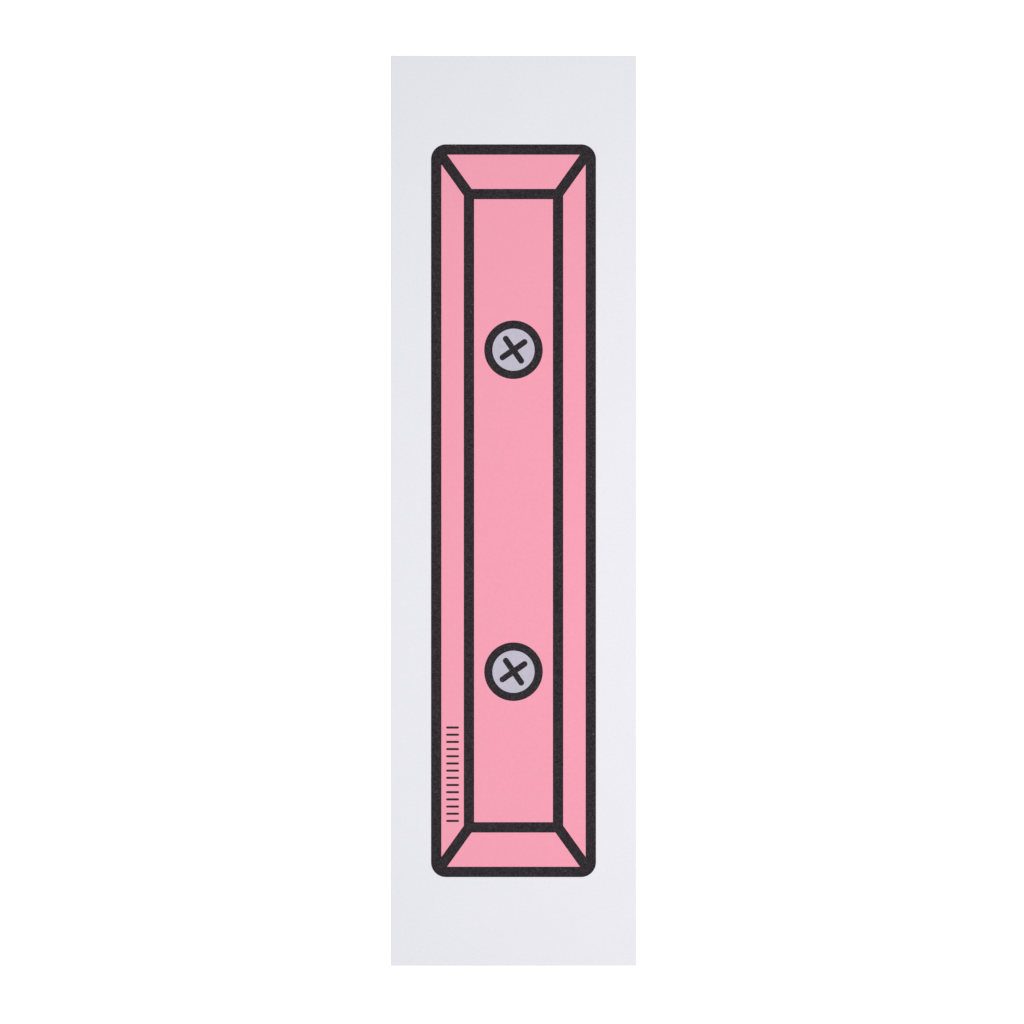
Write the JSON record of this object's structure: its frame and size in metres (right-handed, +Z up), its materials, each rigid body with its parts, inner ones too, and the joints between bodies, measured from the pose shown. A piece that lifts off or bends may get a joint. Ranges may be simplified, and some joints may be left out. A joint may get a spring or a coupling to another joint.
{
  "type": "skateboard grip tape sheet",
  "caption": "Rectangular printed grip tape sheet, gritty on top, adhesive-backed, lying on a peel-off release liner; the print is a plain bevelled block with two cross-head screws.",
  "frame": {"origin": "bottom centre of the release liner, on the surface that the sheet lies on", "axes": "+Y along the sheet towards its head end (the top of the drawing), +X across it to the right, +Z up out of the printed side"},
  "size_m": [0.2286, 0.848, 0.0008],
  "materials": {
    "liner_paper": "matte",
    "silicone_coat": "gloss",
    "adhesive": "gloss",
    "backing_film": "satin",
    "make_coat": "matte",
    "grit": "matte",
    "size_coat": "matte",
    "white_ink": "matte",
    "pink_ink": "matte",
    "grey_ink": "matte",
    "black_ink": "matte"
  },
  "bodies": {
    "release_liner": {"liner_paper": "liner_paper", "silicone_coat": "silicone_coat"},
    "grip_sheet": {"adhesive_layer": "adhesive", "backing_film": "backing_film", "make_coat": "make_coat", "grit_layer": "grit", "size_coat": "size_coat", "white_base_ink": "white_ink", "pink_top_face": "pink_ink", "pink_left_slope": "pink_ink", "pink_right_slope": "pink_ink", "pink_head_slope": "pink_ink", "pink_foot_slope": "pink_ink", "black_block_outline": "black_ink", "upper_screw_ring": "black_ink", "lower_screw_ring": "black_ink", "upper_screw_head": "grey_ink", "lower_screw_head": "grey_ink", "upper_screw_cross": "black_ink", "lower_screw_cross": "black_ink", "tick_marks": "black_ink"}
  },
  "joints": [
    {"name": "sheet_peel", "type": "hinge", "parent": "release_liner", "child": "grip_sheet", "pos_m": [0, 0.424, 0.00014], "axis": [-1, 0, 0], "range_deg": [0, 60]}
  ]
}
